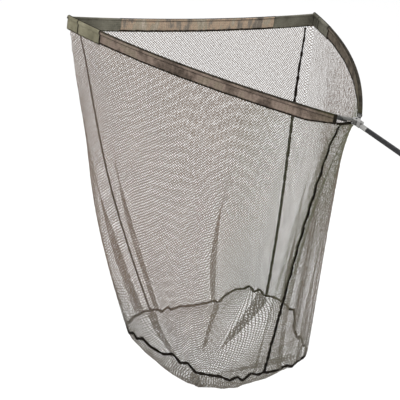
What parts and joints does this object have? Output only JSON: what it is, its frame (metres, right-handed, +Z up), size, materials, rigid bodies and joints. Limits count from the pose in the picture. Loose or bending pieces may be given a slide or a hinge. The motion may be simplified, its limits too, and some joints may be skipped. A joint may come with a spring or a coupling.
{
  "type": "landing net",
  "caption": "Folding landing net: two bowed arms on a pivoting spreader, a deep fine-mesh bag in camouflage sleeves, and a long carbon handle with a foam grip.",
  "frame": {"origin": "on the flat top face of the spreader's top plate, 12.5 mm behind the pivot pin", "axes": "+Y runs from the handle towards the net's front bar, +X towards the right arm, +Z up out of the mouth of the bag, with the rim level"},
  "size_m": [1.0212, 2.7734, 1.1282],
  "materials": {
    "carbon": "satin carbon tube",
    "foam": "closed foam",
    "rubber": "moulded",
    "steel": "satin stainless",
    "dark_steel": "blackened",
    "nylon": "moulded",
    "glass_fibre": "satin solid rod",
    "camouflage": "woven, printed camouflage",
    "patch_fabric": "woven, plain",
    "binding": "woven tape",
    "netting": "fine mesh, shown here as a solid sheet",
    "cord": "braided"
  },
  "bodies": {
    "handle": {"handle_front_section": "carbon", "handle_butt_section": "carbon", "handle_insert": "dark_steel", "handle_ferrule": "dark_steel", "handle_grip": "foam", "butt_cap": "rubber", "spreader_neck": "steel", "spreader_block": "steel", "spreader_top_plate": "steel", "spreader_bottom_plate": "steel", "plate_rivet": "dark_steel", "pivot_pin": "dark_steel", "washer_upper": "nylon", "washer_middle": "nylon", "washer_lower": "nylon", "front_cord": "cord", "front_sleeve": "camouflage", "front_patch_left": "patch_fabric", "front_patch_right": "patch_fabric", "mouth_binding": "binding", "left_panel": "netting", "right_panel": "netting", "front_panel": "netting", "base_panel": "netting", "handle_seam": "binding", "handle_seam_knot": "binding", "left_tip_seam": "binding", "left_tip_seam_knot": "binding", "right_tip_seam": "binding", "right_tip_seam_knot": "binding", "base_seam": "binding"},
    "arm_left": {"arm_bracket_left": "steel", "rod_rivet_left": "dark_steel", "arm_rod_left": "glass_fibre", "tip_cap_left": "nylon", "sleeve_binding_left": "binding", "arm_sleeve_left": "camouflage", "tip_patch_left": "patch_fabric"},
    "arm_right": {"arm_bracket_right": "steel", "rod_rivet_right": "dark_steel", "arm_rod_right": "glass_fibre", "tip_cap_right": "nylon", "sleeve_binding_right": "binding", "arm_sleeve_right": "camouflage", "tip_patch_right": "patch_fabric"}
  },
  "joints": [
    {"name": "arm_left_fold", "type": "hinge", "parent": "handle", "child": "arm_left", "pos_m": [0, 0.0125, -0.009], "axis": [0, 0, -1], "range_deg": [0, 25], "deforming": ["front_cord", "front_sleeve", "front_patch_left", "front_patch_right"]},
    {"name": "arm_right_fold", "type": "hinge", "parent": "handle", "child": "arm_right", "pos_m": [0, 0.0125, -0.009], "axis": [0, 0, 1], "range_deg": [0, 25], "deforming": ["front_cord", "front_sleeve", "front_patch_left", "front_patch_right"]}
  ]
}
